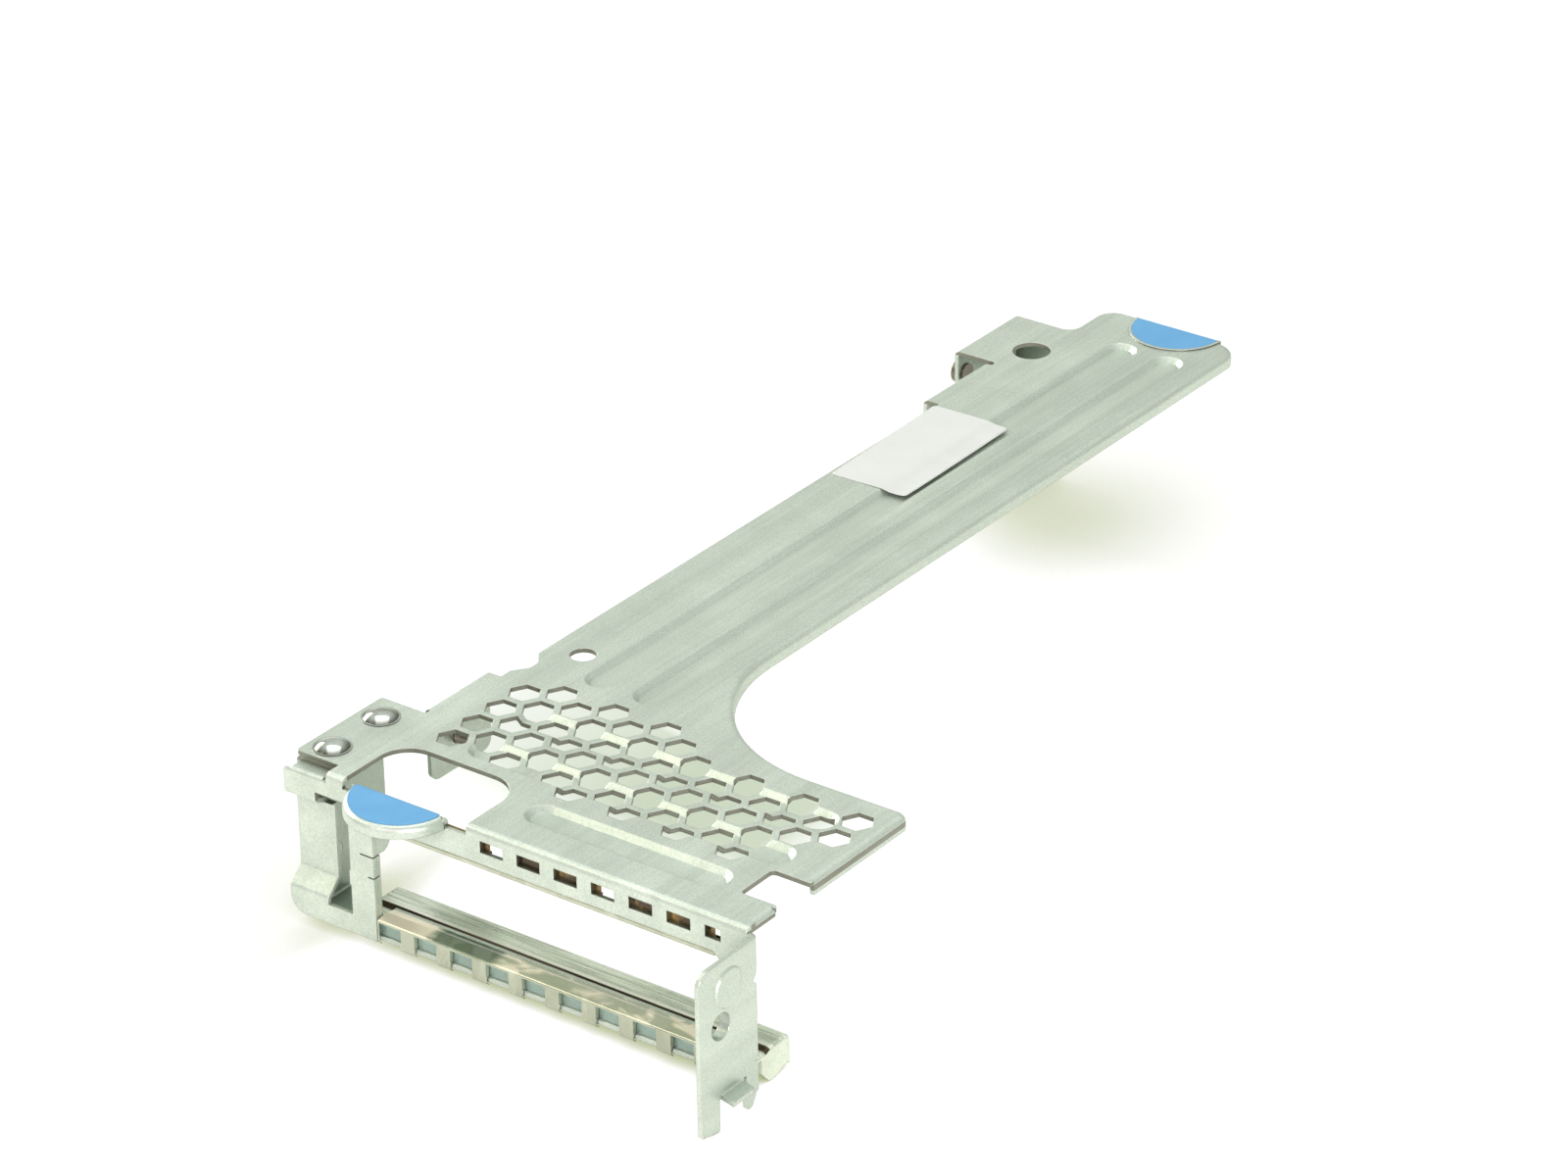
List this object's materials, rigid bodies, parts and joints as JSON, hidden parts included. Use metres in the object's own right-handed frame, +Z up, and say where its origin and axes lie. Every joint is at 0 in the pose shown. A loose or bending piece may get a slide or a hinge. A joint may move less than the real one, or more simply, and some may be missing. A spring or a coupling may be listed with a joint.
{
  "type": "riser cage bracket",
  "caption": "Folded sheet-steel bracket that carries a riser card and frames its slot, with honeycomb vents, beaded arm, spring gaskets and touch tabs.",
  "frame": {"origin": "below the middle of the part's outline, on the board or chassis floor that it stands on", "axes": "+Y along the arm from the slotted front face to the rear end, +Z up, +X towards the screw flange"},
  "size_m": [0.125, 0.2986, 0.041],
  "materials": {
    "galvanised_sheet": "satin galvanised sheet",
    "bracket_sheet": "satin galvanised sheet",
    "rail_sheet": "satin galvanised sheet",
    "bright_rivet": "bright",
    "gasket_spring": "bright spring steel",
    "touch_blue": "satin",
    "screw_steel": "plated",
    "stud_steel": "plated",
    "label_paper": "coated paper"
  },
  "bodies": {
    "root": {"cage_frame": "galvanised_sheet", "corner_bracket": "bracket_sheet", "corner_rivet_front": "bright_rivet", "corner_rivet_rear": "bright_rivet", "slot_rail": "rail_sheet", "lower_emi_gasket": "gasket_spring", "upper_emi_gasket": "gasket_spring", "front_touch_pad": "touch_blue", "rear_touch_pad": "touch_blue", "riser_screw_front": "screw_steel", "riser_screw_rear": "screw_steel", "locating_stud": "stud_steel", "part_label": "label_paper"}
  },
  "joints": []
}
